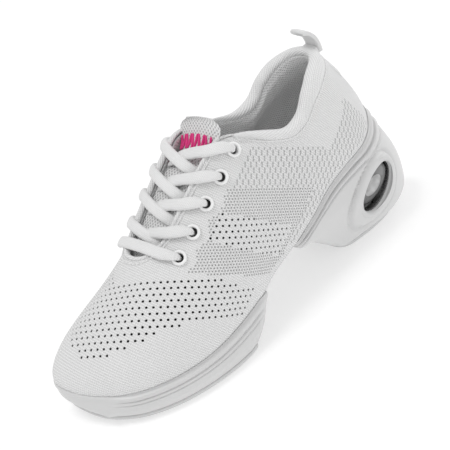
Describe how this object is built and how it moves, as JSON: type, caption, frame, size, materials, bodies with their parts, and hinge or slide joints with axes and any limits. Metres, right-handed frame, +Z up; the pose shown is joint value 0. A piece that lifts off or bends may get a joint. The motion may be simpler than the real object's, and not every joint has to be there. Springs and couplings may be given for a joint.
{
  "type": "cheer shoe",
  "caption": "Lightweight white split-sole cheer and dance sneaker with a perforated knit upper, laced throat, padded collar, heel pull tab and windowed heel cushion.",
  "frame": {"origin": "centre of the bounding box on the floor under the shoe", "axes": "+Y points from the toe to the heel, +Z up, +X to the lateral side of this left shoe"},
  "size_m": [0.0916, 0.2562, 0.1299],
  "materials": {
    "knit_white": "fine white engineered knit, matt",
    "lining_grey": "light grey spacer mesh, matt",
    "sole_white": "light moulded foam with a satin skin",
    "rubber_white": "white moulded rubber, satin",
    "tongue_mesh": "white coarse mesh over thin foam",
    "motif_pink": "pink satin-stitch embroidery",
    "lace_white": "white oval woven lace",
    "eyelet_white": "white moulded plastic, semi-gloss",
    "aglet_clear": "clear lace tip film",
    "stay_white": "thin white thermoplastic stiffener sheet",
    "board_tan": "pressed fibre board",
    "sock_grey": "light grey brushed cloth on foam",
    "foam_white": "soft white open-cell foam",
    "cushion_dark": "dark glossy air-filled cushion",
    "bezel_silver": "silver-grey moulded rim",
    "web_white": "white ribbed webbing tape"
  },
  "bodies": {
    "forefoot": {"aglet_lateral": "aglet_clear", "aglet_medial": "aglet_clear", "arch_cover_front": "knit_white", "eyelet_lateral_1": "eyelet_white", "eyelet_lateral_2": "eyelet_white", "eyelet_lateral_3": "eyelet_white", "eyelet_lateral_4": "eyelet_white", "eyelet_lateral_5": "eyelet_white", "eyelet_medial_1": "eyelet_white", "eyelet_medial_2": "eyelet_white", "eyelet_medial_3": "eyelet_white", "eyelet_medial_4": "eyelet_white", "eyelet_medial_5": "eyelet_white", "eyelet_stay_lateral": "stay_white", "eyelet_stay_medial": "stay_white", "forefoot_midsole": "sole_white", "forefoot_outsole": "rubber_white", "insole_board_front": "board_tan", "knit_vamp": "knit_white", "lining_vamp": "lining_grey", "shoelace": "lace_white", "sock_liner_front": "sock_grey", "throat_binding": "web_white", "toe_puff": "stay_white", "turning_disc": "rubber_white"},
    "heel": {"air_cushion": "cushion_dark", "arch_cover_rear": "knit_white", "back_tape": "web_white", "collar_foam": "foam_white", "heel_counter": "stay_white", "heel_midsole": "sole_white", "heel_outsole": "rubber_white", "insole_board_rear": "board_tan", "knit_quarter": "knit_white", "lining_quarter": "lining_grey", "sock_liner_rear": "sock_grey", "window_frame_lateral": "bezel_silver", "window_frame_medial": "bezel_silver"},
    "tongue": {"tongue": "tongue_mesh", "tongue_motif": "motif_pink"},
    "pull_tab": {"pull_tab": "web_white"}
  },
  "joints": [
    {"name": "arch_flex", "type": "hinge", "parent": "forefoot", "child": "heel", "pos_m": [-0.00106, 0.00864, 0.02893], "axis": [1, 0, 0], "range_deg": [-18, 0], "stiffness_Nm_per_rad": 1.5},
    {"name": "tongue_press", "type": "hinge", "parent": "forefoot", "child": "tongue", "pos_m": [-0.00106, -0.06936, 0.05454], "axis": [1, 0, 0], "range_deg": [-8, 0], "stiffness_Nm_per_rad": 0.3},
    {"name": "pull_tab_bend", "type": "hinge", "parent": "heel", "child": "pull_tab", "pos_m": [-0.00106, 0.09684, 0.11664], "axis": [1, 0, 0], "range_deg": [-30, 30], "stiffness_Nm_per_rad": 0.02}
  ]
}
